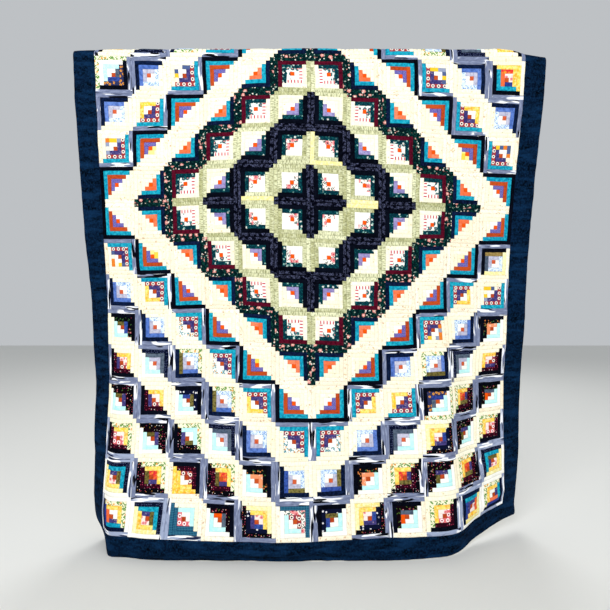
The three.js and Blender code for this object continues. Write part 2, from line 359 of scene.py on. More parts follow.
def block_plan(first_dark):
    """For a block whose first dark side is given: each cell's patch, and which patches lie across."""
    sides = {(first_dark + 2 + order) % 4: order for order in (LIGHT_1, LIGHT_2, DARK_1, DARK_2)}
    patch = np.zeros((LOGS, LOGS), int)
    level = np.zeros((LOGS, LOGS), bool)
    for j in range(LOGS):
        for i in range(LOGS):
            dx, dy = i - ROUNDS, j - ROUNDS
            ring = max(abs(dx), abs(dy))
            if ring == 0:
                continue
            reached = {RIGHT: dx == ring, LEFT: dx == -ring, TOP: dy == ring, BOTTOM: dy == -ring}
            side = max((side for side in reached if reached[side]), key=sides.get)
            patch[j, i] = 1 + 4 * (ring - 1) + sides[side]
            level[j, i] = side in (TOP, BOTTOM)
    return patch, level


def from_middle(number, count):
    """A number counted from the middle outwards, and whether it is in the second half."""
    half = count // 2
    return (number - half + 1, True) if number >= half else (half - number, False)


def place_of(column, row):
    """A block's place: columns and rows counted from the middle lines, and which half it is in."""
    c, on_right = from_middle(column, BLOCKS_ACROSS)
    r, above = from_middle(row, BLOCKS_ALONG)
    return c, r, on_right, above


def first_dark_side(column, row):
    c, r, on_right, above = place_of(column, row)
    inwards = (c + r - 1) % 2 == 1
    across = LEFT if on_right == inwards else RIGHT
    upright = BOTTOM if above == inwards else TOP
    return across if (across + 1) % 4 == upright else upright


# What each block is made of: its centre, then the dark and the light logs from the centre out.
# Where two fabrics share a round, the first log of the pair has one and the second the other.

RECIPES = {
    "posy": ("orange", "pink_posy teal_posy black navy_scroll", "white white sage sage"),
    "posy_butter": ("orange", "pink_posy teal_posy black navy_scroll", "white white sage butter"),
    "posy_above": ("orange", "pink_posy teal_posy black navy_scroll", "white white sage butter/sage"),
    "posy_below": ("orange", "pink_posy teal_posy black navy_scroll", "white white sage sage/butter"),
    "lavender": ("orange", "lavender teal_posy black navy_scroll", "white cream cream sage"),
    "bars": ("orange", "teal_scrap teal_posy burgundy green_posy", "white red_bars cream sage"),
    "coral": ("orange", "coral turquoise night green_posy", "cream cream cream_print cream_print"),
    "rust": ("orange", "purple_dots rust turquoise black", "white cream cream cream_print"),
    "rust_sun": ("orange", "purple_dots rust turquoise black", "sun_scrap cream cream cream_print"),
    "rings": ("rust", "plum rings turquoise marble", "white scraps cream cream_print"),
    "rings_sun": ("rust", "plum rings turquoise marble", "white sun cream cream_print"),
    "rings_sprig": ("rust", "plum rings turquoise marble", "white teal_sprig cream cream"),
    "sky": ("brick", "mist periwinkle night marble", "white sky_sprig cream cream"),
    "sky_olive": ("brick", "mist periwinkle/olive night marble", "white sky_sprig leaf cream"),
    "sky_slate": ("brick", "mist slate/tan black marble", "white sky_sprig butter cream"),
    "sky_navy": ("brick", "mist olive/royal night marble", "white sky_sprig cream cream"),
    "aqua_slate": ("brick", "mist slate night_dots marble", "white aqua white cream"),
    "aqua_blue": ("rust", "olive/royal black_posy black marble", "white aqua cream cream"),
    "aqua_peach": ("rust", "peach black_speck black marble", "white aqua white cream_print"),
    "aqua_rings": ("rust", "rings pink_posy teal_plaid marble", "white aqua white cream_print"),
    "aqua_star": ("rust", "royal/olive night_star black marble", "white aqua white cream_print"),
    "aqua_tan": ("rust", "slate/royal tan_posy black marble", "white aqua white leaf"),
    "sun_rings": ("rust", "rings/plum burgundy_dots black marble", "blush sun cream cream"),
    "sun_plum": ("rust", "royal/plum night_star black_dots marble", "blush sun butter cream"),
    "sun_leaf": ("rust", "olive/plum black_dots black marble", "white aqua leaf cream"),
    "sun_red": ("rust", "plum/olive burgundy_dots black_dots marble", "red sun leaf cream"),
    "deep_olive": ("rust", "olive/plum burgundy_posy black_dots marble", "white aqua white cream"),
    "deep_slate": ("rust", "orange/slate burgundy_posy black marble", "white aqua white cream_print"),
    "deep_rings": ("rust", "rings burgundy_dots black marble", "white sun sun cream_print"),
    "hot_rings": ("rust", "pink_rings burgundy_dots black pale_marble", "blush sun leaf cream"),
    "hot_olive": ("rust", "olive/salmon burgundy_posy black pale_marble", "red sun sun cream"),
    "hot_plaid": ("rust", "pink_rings teal_plaid teal_plaid pale_marble", "white aqua cream cream_print"),
    "teal": ("rust", "plum/olive turquoise night_dots pale_marble", "blush sun butter white"),
    "teal_red": ("rust", "plum royal/turquoise night pale_marble", "blush red/sun butter white"),
    "blue": ("rust", "plum/coral turquoise/royal night pale_marble", "white sun leaf white"),
    "lagoon": ("rust", "royal/coral turquoise black marble", "blush red/sun sun cream"),
}

# The recipes that take turns along each ring, from its block nearest the middle upright line
# outwards. The rings from the tenth on start further out, where the quilt's end cuts them off.
RINGS = {
    1: ("posy",),
    2: ("posy",),
    3: ("lavender",),
    4: ("bars",),
    5: ("coral",),
    6: ("rust", "rust_sun", "rust"),
    7: ("rings_sprig", "rings_sun", "rings_sprig", "rings", "rings_sun", "rings"),
    8: ("sky_navy", "sky", "sky_olive", "sky_olive", "sky", "sky"),
    9: ("aqua_star", "aqua_peach", "aqua_slate", "aqua_blue", "aqua_slate", "aqua_blue"),
    10: ("sun_plum", "sun_red", "sun_leaf", "sun_rings", "sun_rings"),
    11: ("deep_slate", "deep_rings", "deep_olive", "deep_olive"),
    12: ("hot_plaid", "hot_olive", "hot_rings"),
    13: ("teal_red", "teal"),
    14: ("blue",),
}

# Blocks made from other fabrics than their ring's, by columns and rows out from the middle lines,
# less than zero on the left and above.
SWAPPED = {
    (1, -2): "posy_butter",
    (2, -1): "posy_above",
    (2, 1): "posy_below",
    (-2, -1): "posy_below",
    (6, 2): "sky_slate",
    (6, 3): "rings",
    (3, 5): "sky",
    (3, 6): "rings_sun",
    (6, 4): "aqua_peach",
    (4, 6): "aqua_tan",
    (4, 7): "sun_plum",
    (5, 6): "sun_red",
    (6, 6): "deep_slate",
    (4, 8): "deep_olive",
    (5, 8): "sun_red",
    (4, 9): "hot_rings",
    (-1, 9): "aqua_rings",
    (-5, 9): "teal",
    (-5, 8): "sun_red",
    (-4, 4): "rings_sprig",
    (-4, 6): "aqua_star",
    (-6, -4): "aqua_tan",
    (6, -4): "lagoon",
}


def block_recipe(column, row):
    c, r, on_right, above = place_of(column, row)
    ring = c + r - 1
    innermost = max(1, ring + 1 - BLOCKS_ALONG // 2)
    own = (c if on_right else -c, -r if above else r)
    return SWAPPED.get(own, RINGS[ring][(c - innermost) % len(RINGS[ring])])


def block_fabrics(recipe):
    """The fabric of each patch of a block: the centre, then each round's logs as they are sewn on."""
    centre, dark, light = RECIPES[recipe]
    fabrics = [centre]
    for dark_pair, light_pair in zip(dark.split(), light.split()):
        pairs = (light_pair.split("/"), dark_pair.split("/"))
        fabrics += [pair[k % len(pair)] for pair in pairs for k in range(2)]
    return fabrics


# Fabrics: the colour of the ground, then what is printed on it. Sizes are in millimetres.

FABRICS = {
    "white": ("fbfaf3", ("fade", "f4f2e6", 0.7), ("mottle", "ebe9da", 14, 0.35)),
    "cream": (
        "fcf9e6",
        ("fade", "f7efd2", 0.9),
        ("mottle", "f1e8c8", 14, 0.5),
        ("strokes", "e6d8ac", 4.5, 0.3),
        ("specks", "d5c79c", 9, 0.07),
    ),
    "cream_print": (
        "fcf8e6",
        ("fade", "f6ead0", 0.9),
        ("mottle", "f0e1c2", 13, 0.5),
        ("scroll", "dcc39a", 15, 0.02),
        ("specks", "cfae8a", 10, 0.06),
    ),
    "butter": (
        "efe08a",
        ("fade", "f8f0b4", 1.0),
        ("mottle", "fdf9d6", 10, 0.7),
        ("mottle", "d8c468", 7, 0.3),
    ),
    "sage": (
        "b2b381",
        ("fade", "e6e7c0", 1.0),
        ("mottle", "e8eac6", 17, 0.5),
        ("strokes", "7a7c52", 3.0, 0.75),
    ),
    "leaf": ("f4efcf", ("sprig", "5f8f42", 21, 0.6), ("specks", "e59a45", 12, 0.3)),
    "blush": ("f6e4dc", ("posy", "e48f90", "cc4c5c", 17, 0.34, 0.6)),
    "sun": (
        "f8c832",
        ("fade", "fbdc66", 0.9),
        ("mottle", "ef8f2a", 14, 0.7),
        ("mottle", "fdf2a6", 10, 0.6),
    ),
    "sun_scrap": ("f5ebc6", ("squares", ("f6cf4a", "f5ebc6", "f9e48c", "f3ead2"), 24)),
    "red": ("e2402f", ("mottle", "f4a834", 12, 0.8), ("mottle", "c8143c", 9, 0.6)),
    "orange": ("e8550e", ("mottle", "cc4408", 8, 0.5)),
    "rust": ("b04420", ("mottle", "86300f", 9, 0.7), ("fade", "d05a24", 0.5)),
    "brick": ("cf5f3a", ("mottle", "ab4526", 8, 0.5)),
    "coral": ("ea6a3c", ("fade", "ef8a66", 0.9), ("mottle", "d95528", 9, 0.5)),
    "salmon": ("e8836a", ("mottle", "cf5f52", 8, 0.6)),
    "peach": ("ee9468", ("posy", "f5cdb6", "b8502e", 12, 0.3, 0.5)),
    "burgundy": ("560c22", ("mottle", "300612", 9, 0.8)),
    "lavender": ("8c82b4", ("fade", "a8a0cc", 0.8), ("mottle", "6c629a", 10, 0.6)),
    "plum": (
        "3d3872",
        ("fade", "564e8a", 0.7),
        ("mottle", "24214e", 8, 0.7),
        ("specks", "8a7a92", 8, 0.25),
    ),
    "purple_dots": ("564f9c", ("dots", "b9b4e4", 4.4, 0.2, 1.0)),
    "periwinkle": ("4f70bd", ("fade", "6c8ad0", 0.8), ("mottle", "33508f", 12, 0.7)),
    "royal": ("2c3d8c", ("fade", "3a5aa8", 0.8), ("mottle", "1d2860", 9, 0.7)),
    "slate": ("4d5a6e", ("fade", "65727f", 0.6), ("mottle", "323d4f", 11, 0.7)),
    "mist": ("b4b4cb", ("fade", "c6c6d6", 0.8), ("mottle", "8f90aa", 10, 0.6)),
    "tan": ("9c844e", ("mottle", "6e5a30", 9, 0.7)),
    "olive": ("655a2a", ("fade", "8a8148", 0.7), ("mottle", "38321a", 8, 0.8)),
    "aqua": ("aee9ea", ("fade", "c4f1ee", 0.8), ("mottle", "d4f5f1", 12, 0.7)),
    "turquoise": (
        "0c90b2",
        ("fade", "14a4bc", 0.8),
        ("mottle", "3cbccc", 11, 0.6),
        ("mottle", "076684", 9, 0.7),
    ),
    "black": ("020309", ("fade", "060a17", 1.0), ("mottle", "0c111f", 10, 0.5)),
    "night": ("040b20", ("fade", "081632", 1.0), ("mottle", "14254a", 9, 0.6)),
    "night_dots": ("080f26", ("dots", "6d78a6", 6.0, 0.16, 0.7)),
    "night_star": ("0a102a", ("posy", "dfe2ee", "e0b44e", 13, 0.24, 0.35)),
    "black_dots": (
        "05060b",
        ("dots", "ece4e2", 9.5, 0.13, 0.3),
        ("dots", "b03a5a", 8.0, 0.16, 0.35),
        ("dots", "d8923e", 11.0, 0.11, 0.25),
    ),
    "black_posy": (
        "04050a",
        ("posy", "a83c58", "ecd49a", 14, 0.22, 0.35),
        ("sprig", "3c6a34", 13, 0.12),
    ),
    "black_speck": ("07080d", ("specks", "d27c40", 8, 0.3), ("specks", "3e7642", 7, 0.2)),
    "burgundy_dots": ("2a0616", ("dots", "c23c5e", 8.0, 0.17, 0.45), ("dots", "f0dcd8", 12, 0.12, 0.3)),
    "burgundy_posy": (
        "0f040b",
        ("posy", "a02e4c", "e4b09a", 13, 0.2, 0.35),
        ("dots", "ded8c8", 9, 0.11, 0.25),
        ("sprig", "4c6a2a", 13, 0.08),
    ),
    "tan_posy": ("2c3258", ("posy", "d8923e", "6e3e14", 12, 0.36, 0.8)),
    "navy_scroll": ("01020c", ("scribble", "656b8e", 4.6, 0.75)),
    "teal_posy": (
        "042c38",
        ("sprig", "0f5254", 12, 0.35),
        ("posy", "cfe0d8", "de7f78", 19, 0.2, 0.35),
        ("specks", "8fc0b4", 9, 0.12),
    ),
    "green_posy": (
        "02181c",
        ("sprig", "0a3a34", 15, 0.45),
        ("posy", "d98c84", "f0d2c2", 30, 0.22, 0.45),
        ("posy", "eef0e6", "c9a23e", 16, 0.15, 0.35),
        ("specks", "a3b8a8", 8, 0.16),
        ("specks", "d8a094", 8, 0.08),
    ),
    "teal_scrap": (
        "eef1ea",
        ("posy", "12585e", "e08a84", 19, 0.44, 0.8),
        ("specks", "1b696e", 12, 0.2),
    ),
    "pink_posy": (
        "f3ece4",
        ("sprig", "12463e", 15, 0.4),
        ("posy", "e88f90", "b83a48", 22, 0.42, 0.65),
        ("specks", "0c2c30", 11, 0.16),
    ),
    "teal_plaid": ("174361", ("plaid", "4388a0", 5.5)),
    "teal_sprig": ("f4f5ee", ("sprig", "12808e", 16, 0.6), ("specks", "e39c34", 9, 0.35)),
    "sky_sprig": ("e3edf6", ("sprig", "6c98d2", 15, 0.5), ("mottle", "bcd5ee", 12, 0.6)),
    "red_bars": ("f6f1ea", ("bars", "c0283a", 12.0)),
    "rings": ("a83a2c", ("mottle", "4a3a70", 9, 0.6), ("rings", "f4e8dc", "2c1a34", 22)),
    "pink_rings": ("e2787c", ("mottle", "c8384c", 9, 0.6), ("rings", "fbf3f0", "a02444", 22)),
    "scraps": ("f2ead0", ("squares", ("4a5c88", "ecc02e", "e07c28", "f4ecd4", "8e98b2"), 15)),
    "marble": ("737c98", ("marble", "f2f4f9", "090b14", 80)),
    "pale_marble": ("9aa5bf", ("marble", "f8f9fc", "1e2644", 80)),
}


COTTON_ROUGHNESS = 0.88
COTTON_SHINE = 0.02
RELIEF_HEIGHT = 1.0
RELIEF_STRENGTH = 0.8
CRINKLE, CRINKLE_STRETCH = 5.0, 3.5
THREAD = 0.7
TONE_SEED = 5
TONE_SHIFT = (3700, 9100)  # logs of one fabric are cut from places as far apart as this
SCRAP_DRAWS = 57  # spreads the logs' tones over as many draws of scraps

# Where prints fade in, in levels of their noise, or in pitches or millimetres from their middle
MOTTLE_FADE = (0.42, 0.68)
STROKE_FADE = (0.47, 0.62)
SPECK_EDGE = (0.86, 0.74)
LEAF_EDGE = (0.36, 0.3)
LEAF_TURNS = (0.7, -0.9)
LINE_EDGE = (0.07, 0.02)
SCRIBBLE_EDGE = (7.0, 4.5)
SCRIBBLE_PATCHES = (0.36, 0.56)
BAR_EDGE = (0.2, 0.16)
BAR_ENDS = (6.0, 5.4)
RING_EDGE = (0.31, 0.28)
RING_HEART_EDGE = (0.16, 0.13)
PLAID_FADE = (0.34, 0.44)
PLAID_STRENGTH = 0.7


def ink(code):
    """A linear colour from its hexadecimal code."""
    parts = [int(code[k : k + 2], 16) / 255 for k in (0, 2, 4)]
    return (*[v / 12.92 if v <= 0.04045 else ((v + 0.055) / 1.055) ** 2.4 for v in parts], 1)


class Cloth:
    """A cloth material whose colour is built up print by print, with some painted shade, in places on the
    cloth.
    """

    def __init__(self, name, ground, uv_map, tone=True):
        self.material = bpy.data.materials.new(name)
        self.material.use_nodes = True
        self.tree = self.material.node_tree
        self.tree.nodes.clear()
        place = self.node("ShaderNodeUVMap", uv_map=uv_map).outputs["UV"]
        self.strip = self.scaled(place, 1000, 1000)
        self.tone = None
        self.at = self.strip
        if tone:
            self.tone = self.node("ShaderNodeAttribute", attribute_name="tone").outputs["Fac"]
            shifts = [self.math("MULTIPLY", self.tone, most) for most in TONE_SHIFT]
            shift = self.node("ShaderNodeCombineXYZ", dict(zip("XY", shifts)))
            self.at = self.vector("ADD", self.strip, shift.outputs["Vector"])
        self.colour = ink(ground)

    def node(self, kind, inputs=None, **settings):
        """A node whose inputs are linked, where they are given another's output, or else set."""
        node = self.tree.nodes.new(kind)
        for key, value in settings.items():
            setattr(node, key, value)
        for key, value in (inputs or {}).items():
            if isinstance(value, bpy.types.NodeSocket):
                self.tree.links.new(value, node.inputs[key])
            else:
                node.inputs[key].default_value = value
        return node

    def math(self, operation, *values):
        return self.node("ShaderNodeMath", dict(enumerate(values)), operation=operation).outputs[0]

    def vector(self, operation, a, b):
        return self.node("ShaderNodeVectorMath", {0: a, 1: b}, operation=operation).outputs[0]

    def scaled(self, place, x, y):
        return self.vector("MULTIPLY", place, (x, y, 1))

    def step(self, value, low, high):
        """0 where value is under low, 1 where it is over high, or the other way round."""
        turned = low > high
        levels = {"From Min": min(low, high), "From Max": max(low, high)}
        ends = {"To Min": float(turned), "To Max": float(not turned)}
        inputs = {"Value": value, **levels, **ends}
        ramp = self.node("ShaderNodeMapRange", inputs, interpolation_type="SMOOTHSTEP")
        return ramp.outputs["Result"]

    def paint(self, code, mask, *shares):
        """Paints over the colour so far where the mask, times the shares, is 1."""
        for share in shares:
            mask = self.math("MULTIPLY", mask, share)
        mix = self.node("ShaderNodeMix", {0: mask, 6: self.colour, 7: ink(code)}, data_type="RGBA")
        self.colour = mix.outputs[2]

    def noise(self, size, stretch=1.0, detail=2.0, distortion=0.0, shift=0.0):
        """Soft noise whose lumps are size wide along the strip, and stretch times that across it."""
        place = self.scaled(self.at, 1 / size, 1 / (size * stretch))
        place = self.vector("ADD", place, (shift, shift, 0))
        inputs = {"Vector": place, "Scale": 1, "Detail": detail, "Distortion": distortion}
        return self.node("ShaderNodeTexNoise", inputs, noise_dimensions="2D").outputs["Fac"]

    def cells(self, pitch, stretch=1.0, evenness=0.0, turn=0.0):
        """Scattered spots: the distance to the nearest, in pitches, and its own random number."""
        place = self.at
        if turn:
            inputs = {"Vector": place, "Angle": turn}
            turned = self.node("ShaderNodeVectorRotate", inputs, rotation_type="Z_AXIS")
            place = turned.outputs["Vector"]
        place = self.scaled(place, 1 / pitch, 1 / (pitch * stretch))
        inputs = {"Vector": place, "Scale": 1, "Randomness": 1 - evenness}
        spots = self.node("ShaderNodeTexVoronoi", inputs, voronoi_dimensions="2D")
        own = self.node("ShaderNodeSeparateColor", {"Color": spots.outputs["Color"]})
        return spots.outputs["Distance"], own.outputs["Red"]

    def axes(self):
        """How far along and across its strip each place is."""
        return self.node("ShaderNodeSeparateXYZ", {0: self.strip}).outputs

    def printed(self, own, cover):
        """1 at the share of the scattered spots that cover gives, by their own random numbers."""
        return self.step(own, 1.0 - cover, 1.02 - cover)

    # Prints, and painted shade along stitched lines

    def mottle(self, code, size, strength, stretch=1.0):
        mask = self.step(self.noise(size, stretch=stretch, detail=3, shift=size), *MOTTLE_FADE)
        self.paint(code, mask, strength)

    def fade(self, code, strength):
        """Another shade of the same fabric, by the log."""
        self.paint(code, self.tone, strength)

    def strokes(self, code, size, strength):
        """Short strokes across the strip."""
        mask = self.step(self.noise(size, stretch=5, detail=1, shift=size), *STROKE_FADE)
        self.paint(code, mask, strength)

    def scribble(self, code, size, strength):
        """A tangle of short pale lines, thickest along the middle of the strip."""
        away = self.math("ABSOLUTE", self.repeat(size)[1])
        tangle = self.math("SUBTRACT", self.noise(size, detail=2, distortion=1.2, shift=size), 0.5)
        lines = self.step(self.math("ABSOLUTE", tangle), *LINE_EDGE)
        patches = self.step(self.noise(size * 3, detail=1), *SCRIBBLE_PATCHES)
        self.paint(code, lines, self.step(away, *SCRIBBLE_EDGE), patches, strength)

    def specks(self, code, pitch, cover):
        away, own = self.cells(pitch)
        near = self.step(self.math("ADD", away, self.noise(pitch / 4)), *SPECK_EDGE)
        self.paint(code, near, self.printed(own, cover))

    def dots(self, code, pitch, radius, cover):
        away, own = self.cells(pitch, evenness=0.75)
        near = self.step(away, radius + 0.05, radius - 0.05)
        self.paint(code, near, self.printed(own, cover))

    def posy(self, petal, heart, pitch, radius, cover):
        """Ragged blossoms with a heart of another colour."""
        away, own = self.cells(pitch, evenness=0.25)
        chosen = self.printed(own, cover)
        ragged = self.math("ADD", away, self.math("MULTIPLY", self.noise(pitch / 5), 0.34))
        self.paint(petal, self.step(ragged, radius + 0.2, radius + 0.14), chosen)
        middle = self.step(away, radius / 3 + 0.04, radius / 3 - 0.04)
        self.paint(heart, middle, chosen)

    def sprig(self, code, pitch, cover):
        """Slanting leaves, some one way and some the other."""
        for turn in LEAF_TURNS:
            away, own = self.cells(pitch, stretch=0.3, turn=turn)
            self.paint(code, self.step(away, *LEAF_EDGE), self.printed(own, cover))

    def scroll(self, code, size, width):
        """Thin winding lines."""
        level = self.noise(size, detail=1, distortion=0.6, shift=size)
        away = self.math("ABSOLUTE", self.math("SUBTRACT", level, 0.5))
        self.paint(code, self.step(away, width, width / 3))

    def repeat(self, pitch):
        """How far along its repeat each place is, from -0.5 to 0.5, and how far off the middle."""
        along, across, _ = self.axes()
        share = self.math("FRACT", self.math("DIVIDE", along, pitch))
        return self.math("SUBTRACT", share, 0.5), self.math("SUBTRACT", across, LOG / 2)

    def bars(self, code, pitch):
        """Short bars across the strip, in a row along it."""
        along, across = self.repeat(pitch)
        wide = self.step(self.math("ABSOLUTE", along), *BAR_EDGE)
        long = self.step(self.math("ABSOLUTE", across), *BAR_ENDS)
        self.paint(code, wide, long)

    def rings(self, ring, heart, pitch):
        along, across = self.repeat(pitch)
        run = self.math("MULTIPLY", along, pitch)
        squares = [self.math("MULTIPLY", value, value) for value in (run, across)]
        away = self.math("SQRT", self.math("ADD", *squares))
        for code, edge in ((ring, RING_EDGE), (heart, RING_HEART_EDGE)):
            self.paint(code, self.step(away, *(pitch * share for share in edge)))

    def plaid(self, code, pitch):
        along, across = self.repeat(pitch)
        rows = self.math("PINGPONG", self.math("DIVIDE", across, pitch), 0.5)
        for lines in (self.math("ABSOLUTE", along), rows):
            self.paint(code, self.step(lines, *PLAID_FADE), PLAID_STRENGTH)

    def squares(self, codes, size):
        """Scraps of several colours sewn end to end."""
        number = self.math("FLOOR", self.math("DIVIDE", self.axes()["X"], size))
        draw = self.math("MULTIPLY", self.tone, SCRAP_DRAWS)
        place = self.node("ShaderNodeCombineXYZ", {"X": number, "Y": draw})
        inputs = {"Vector": place.outputs["Vector"]}
        own = self.node("ShaderNodeTexWhiteNoise", inputs, noise_dimensions="2D")
        for k, code in enumerate(codes):
            low = k / len(codes)
            self.paint(code, self.step(own.outputs["Value"], low - 0.001, low + 0.001))

    def marble(self, light, dark, size):
        """Long swirls of light and dark along the strip."""
        streaks = self.noise(size / 3, stretch=0.2, detail=2, distortion=0.4, shift=5.7)
        self.paint("98a2be", self.step(streaks, 0.5, 0.7), 0.6)
        self.paint("566080", self.step(streaks, 0.45, 0.32), 0.5)
        bold = self.step(self.noise(size * 1.3, detail=0, shift=3.1), 0.44, 0.52)
        swirl = self.noise(size, stretch=0.16, detail=0.5, distortion=0.35)
        self.paint(light, self.step(swirl, 0.5, 0.54), bold)
        swirl = self.noise(size * 1.1, stretch=0.1, detail=0.5, distortion=0.35, shift=7.3)
        self.paint(dark, self.step(swirl, 0.42, 0.38), bold)

    def stitching_and_painted_shade(self, code, pitch, width, strength):
        """Soft darker lines in a square grid where the layers are stitched together: painted shade in the
        ditches, which also stands for the stitches.
        """
        away = [self.math("PINGPONG", self.axes()[axis], pitch / 2) for axis in "XY"]
        near = self.math("ADD", self.math("MINIMUM", *away), self.noise(width, detail=1))
        self.paint(code, self.step(near, width, width / 4), strength)

    def finish(self, creasing=0.5, weave=0.12):
        """Joins the colour to the surface, with painted shade along the logs' seams, and the fabric's
        crinkles and weave as small relief.
        """
        colour = self.colour
        # Painted shade: where a tone is given, the colour is darkened along the long edges of each log,
        # standing in for the shadow in its seams.
        if self.tone is not None:
            away = self.math("ABSOLUTE", self.repeat(LOG)[1])
            seam = self.step(away, LOG / 2 - PAINTED_SEAM_SHADE_WIDTH, LOG / 2 - 0.1)
            value = self.math("MULTIPLY_ADD", seam, -PAINTED_SEAM_SHADE, 1.0)
            shade = self.node("ShaderNodeHueSaturation", {"Value": value, "Color": colour})
            colour = shade.outputs["Color"]
        crinkle = self.math("MULTIPLY", self.noise(CRINKLE, stretch=CRINKLE_STRETCH), creasing)
        threads = self.math("MULTIPLY", self.noise(THREAD, detail=1), weave)
        relief = {"Strength": RELIEF_STRENGTH, "Distance": RELIEF_HEIGHT * MM}
        height = self.math("ADD", crinkle, threads)
        bump = self.node("ShaderNodeBump", {"Height": height, **relief})
        finish = {"Roughness": COTTON_ROUGHNESS, "Specular IOR Level": COTTON_SHINE}
        look = {"Base Color": colour, "Normal": bump.outputs["Normal"], **finish}
        surface = self.node("ShaderNodeBsdfPrincipled", look)
        self.node("ShaderNodeOutputMaterial", {"Surface": surface.outputs["BSDF"]})
        return self.material


def printed_cotton(name):
    ground, *prints = FABRICS[name]
    cloth = Cloth(name, ground, "strip")
    for pattern, *values in prints:
        getattr(cloth, pattern)(*values)
    return cloth.finish()


def border_cotton():
    cloth = Cloth("border_navy", "031024", "cloth", tone=False)
    # The two long stretched mottles are partly the fabric's own dye and partly painted highlight and
    # painted shade, standing in for light on the border's ridges and shadow in its folds.
    cloth.mottle("0e2f52", 90, 0.6, stretch=0.3)
    cloth.mottle("000207", 75, 0.95, stretch=0.3)
    cloth.mottle("071f3a", 15, 0.6)
    cloth.mottle("113659", 7, 0.3)
    return cloth.finish(creasing=0.7)


def backing_cotton():
    cloth = Cloth("backing_calico", "efe9db", "cloth", tone=False)
    cloth.mottle("e4dcc8", 30, 0.6)
    cloth.specks("d8cdb2", 9, 0.2)
    # A soft darker grid: painted shade along the stitched lines, together with the stitching itself.
    cloth.stitching_and_painted_shade("bfb496", BLOCK, 5.0, 0.8)
    return cloth.finish(creasing=0.9)


# The patchwork's arrays, one entry for each cell of one log square


def pieced_cells():
    """For each cell: its patch and fabric, whether its log lies across, its tone and its start."""
    shape = (BLOCKS_ALONG * LOGS, BLOCKS_ACROSS * LOGS)
    patch, fabric = np.zeros(shape, int), np.zeros(shape, int)
    level, tone = np.zeros(shape, bool), np.zeros(shape)
    start_s, start_t = np.zeros(shape), np.zeros(shape)
    names = list(FABRICS)
    plans = {side: block_plan(side) for side in range(4)}
    random = np.random.default_rng(TONE_SEED)
    for row in range(BLOCKS_ALONG):
        for column in range(BLOCKS_ACROSS):
            own, lies_level = plans[first_dark_side(column, row)]
            fabrics = np.array([names.index(f) for f in block_fabrics(block_recipe(column, row))])
            tones = random.uniform(0, 1, PATCHES)
            block = (slice(row * LOGS, (row + 1) * LOGS), slice(column * LOGS, (column + 1) * LOGS))
            patch[block] = own + PATCHES * (row * BLOCKS_ACROSS + column)
            fabric[block], tone[block], level[block] = fabrics[own], tones[own], lies_level
            for number in range(PATCHES):
                rows, columns = np.nonzero(own == number)
                start_s[block][rows, columns] = (column * LOGS + columns.min()) * LOG - PATCH_HALF_WIDTH
                start_t[block][rows, columns] = (row * LOGS + rows.min()) * LOG - PATCH_HALF_LENGTH
    return patch, fabric, level, tone, start_s, start_t


def log_relief(patch):
    """How high each crossing of the mesh lines stands: 0 in a seam and 1 in the middle of a log."""
    rows, columns = patch.shape
    height = np.ones((rows * PER_LOG + 1, columns * PER_LOG + 1))
    framed = np.pad(patch, 1, constant_values=-1)
    upright = framed[1:-1, 1:] != framed[1:-1, :-1]
    level = framed[1:, 1:-1] != framed[:-1, 1:-1]
    seam_left, seam_right = upright[:, :-1], upright[:, 1:]
    seam_below, seam_above = level[:-1], level[1:]
    rise = lambda u: np.sqrt(np.sin(np.pi * min(max(u, 0.0), 1.0)))
    crown = lambda u, low, high: np.where(low & (u < 0.5) | high & (u > 0.5), rise(u), 1.0)
    steps = (*LOG_STEPS, 1.0)
    for b, v in enumerate(steps):
        for a, u in enumerate(steps):
            here = crown(u, seam_left, seam_right) * crown(v, seam_below, seam_above)
            part = height[b : b + rows * PER_LOG : PER_LOG, a : a + columns * PER_LOG : PER_LOG]
            np.minimum(part, here, out=part)
    return height


ACROSS = lines_along(PATCH_HALF_WIDTH)
ALONG = lines_along(PATCH_HALF_LENGTH)
PATCH, FABRIC, LEVEL, TONE, START_S, START_T = pieced_cells()


def cloth_faces():
    """The front and the back face of the cloth at every crossing of the lines, in metres."""
    s, t = np.meshgrid(ACROSS, ALONG)
    middle = hang(ACROSS, ALONG)
    per_s = np.gradient(middle, axis=1)
    per_t = np.gradient(middle, axis=0)
    unit = lambda v: v / np.linalg.norm(v, axis=-1, keepdims=True)
    per_s, per_t = unit(per_s), unit(per_t)
    normal = unit(np.cross(per_s, per_t))

    # Seams wander a little, because no strip is cut or sewn quite straight.
    wander_s = pulled(PULLED_RIGHT, s, t) + all_lumps(WANDER_RIGHT, s, t)
    wander_t = pulled(PULLED_UP, s, t) + all_lumps(WANDER_UP, s, t)
    middle = middle + per_s * wander_s[..., None] + per_t * wander_t[..., None]

    logs = np.zeros_like(s)
    inner = (slice(PER_BORDER, -PER_BORDER), slice(PER_BORDER, -PER_BORDER))
    logs[inner] = log_relief(PATCH) - 1
    ripples = all_lumps(RIPPLES, s, t) + creases(s, t)
    share = edge_thickness(s, t)
    front = share * (THICKNESS / 2 + block_swell(s, t) + SEAM_DITCH * logs) + ripples
    back_puff = BACK_PUFF * np.sqrt(np.abs(np.sin(np.pi * s / BLOCK) * np.sin(np.pi * t / BLOCK)))
    back = ripples - share * (THICKNESS / 2 + back_puff)
    faces = [middle + normal * offset[..., None] for offset in (front, back)]
    for face in faces:
        face[..., 2] = np.maximum(face[..., 2], FLOOR_Z)
    return [face * MM for face in faces]


FRONT, BACK = cloth_faces()


# Making the meshes


def flat_map(mesh, name, uv):
    layer = mesh.uv_layers.new(name=name, do_init=False)
    layer.uv.foreach_set("vector", uv.astype(np.float32).ravel())


